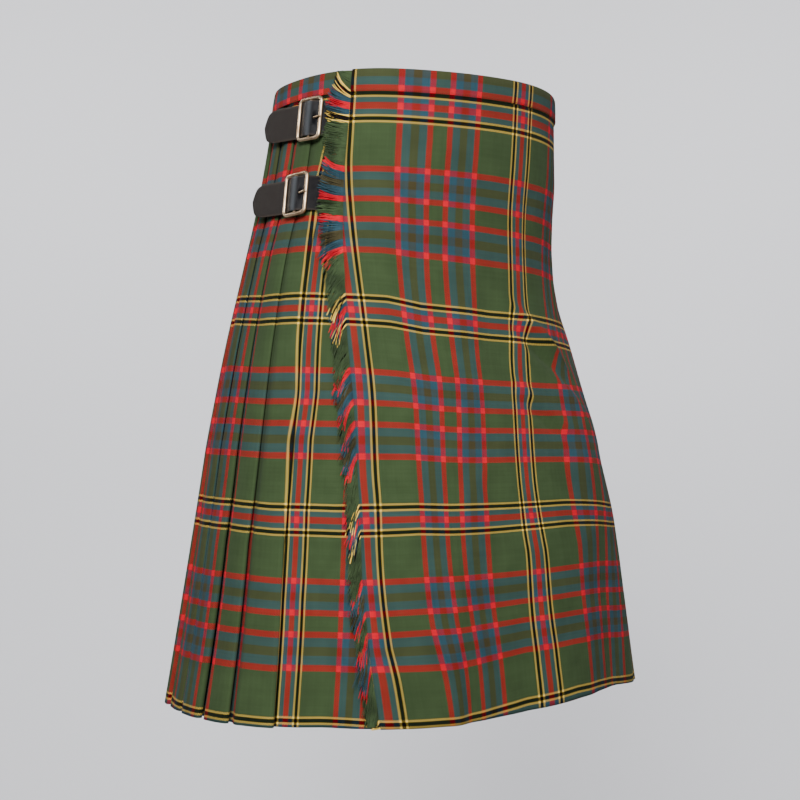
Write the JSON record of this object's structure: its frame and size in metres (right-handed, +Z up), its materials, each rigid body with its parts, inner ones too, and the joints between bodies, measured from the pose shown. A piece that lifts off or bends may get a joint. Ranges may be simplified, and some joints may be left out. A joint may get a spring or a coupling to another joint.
{
  "type": "tartan kilt",
  "caption": "Hollow worn wrap-around tartan kilt with flat crossed front aprons, knife pleats round the back, a fringed apron edge, a waistband and buckled leather straps on the right hip.",
  "frame": {"origin": "centre of the wearer's waist, level with the middle of the upper strap", "axes": "+Z up towards the waistband, -Y to the wearer's front, -X to the wearer's right, where the straps and the fringed edge are"},
  "size_m": [0.5194, 0.383, 0.605],
  "materials": {
    "tartan": "woven wool twill, dry",
    "band": "woven wool twill, pressed",
    "yarn": "frayed wool yarn",
    "leather": "grained, half matt",
    "brass": "pale antique brass, worn"
  },
  "bodies": {
    "root": {"over_apron": "tartan", "under_apron": "tartan", "pleats_right": "tartan", "pleats_left": "tartan", "waistband_over_apron": "band", "waistband_under_apron": "band", "waistband_pleats": "band", "fringe": "yarn", "strap_upper": "leather", "strap_lower": "leather", "tab_upper": "leather", "tab_lower": "leather", "buckle_upper": "brass", "buckle_lower": "brass", "prong_upper": "brass", "prong_lower": "brass"}
  },
  "joints": []
}
